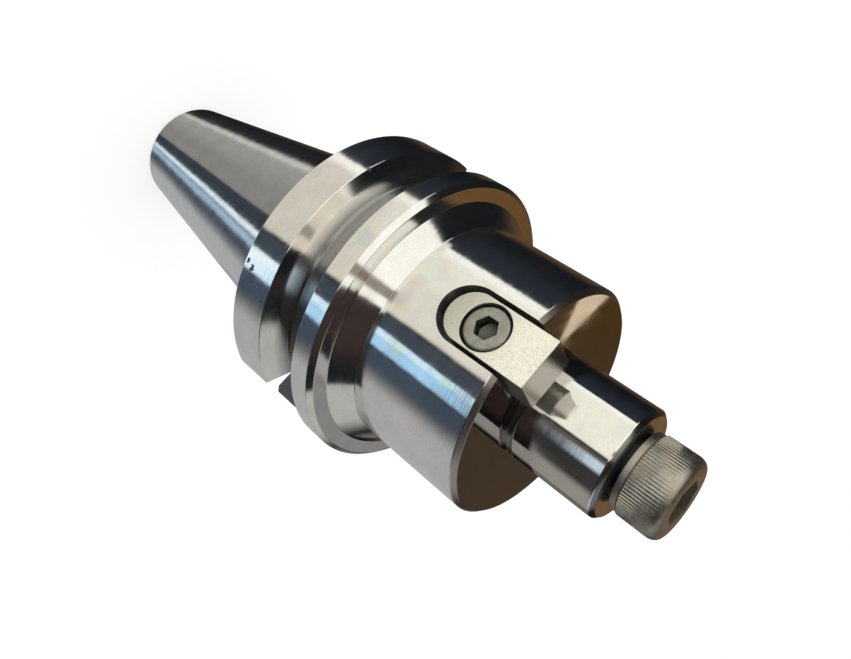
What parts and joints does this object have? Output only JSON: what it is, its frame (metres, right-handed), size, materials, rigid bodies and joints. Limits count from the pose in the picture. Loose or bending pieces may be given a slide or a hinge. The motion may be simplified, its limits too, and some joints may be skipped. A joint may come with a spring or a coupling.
{
  "type": "face mill arbor",
  "caption": "Steep-taper face mill arbor: grooved flange with drive slots, round body with screwed-in drive keys, short spigot and its clamp screw.",
  "frame": {"origin": "centre of the taper's gauge plane, where its diameter is 44.45 mm", "axes": "+Z along the axis towards the cutter; the drive keys lie on the Y sides and the flange's drive slots on the X sides"},
  "size_m": [0.063, 0.063, 0.1504],
  "materials": {
    "ground_steel": "ground and polished bright steel",
    "key_steel": "satin surface-ground steel",
    "key_screw_steel": "satin grey steel",
    "clamp_screw_steel": "matte knurled grey steel"
  },
  "bodies": {
    "arbor": {"arbor_body": "ground_steel", "drive_key_a": "key_steel", "drive_key_b": "key_steel", "key_screw_a": "key_screw_steel", "key_screw_b": "key_screw_steel"},
    "clamp": {"clamp_screw": "clamp_screw_steel"}
  },
  "joints": [
    {"name": "clamp_screw_travel", "type": "slide", "parent": "arbor", "child": "clamp", "axis": [0, 0, 1], "range_m": [0, 0.03]}
  ]
}
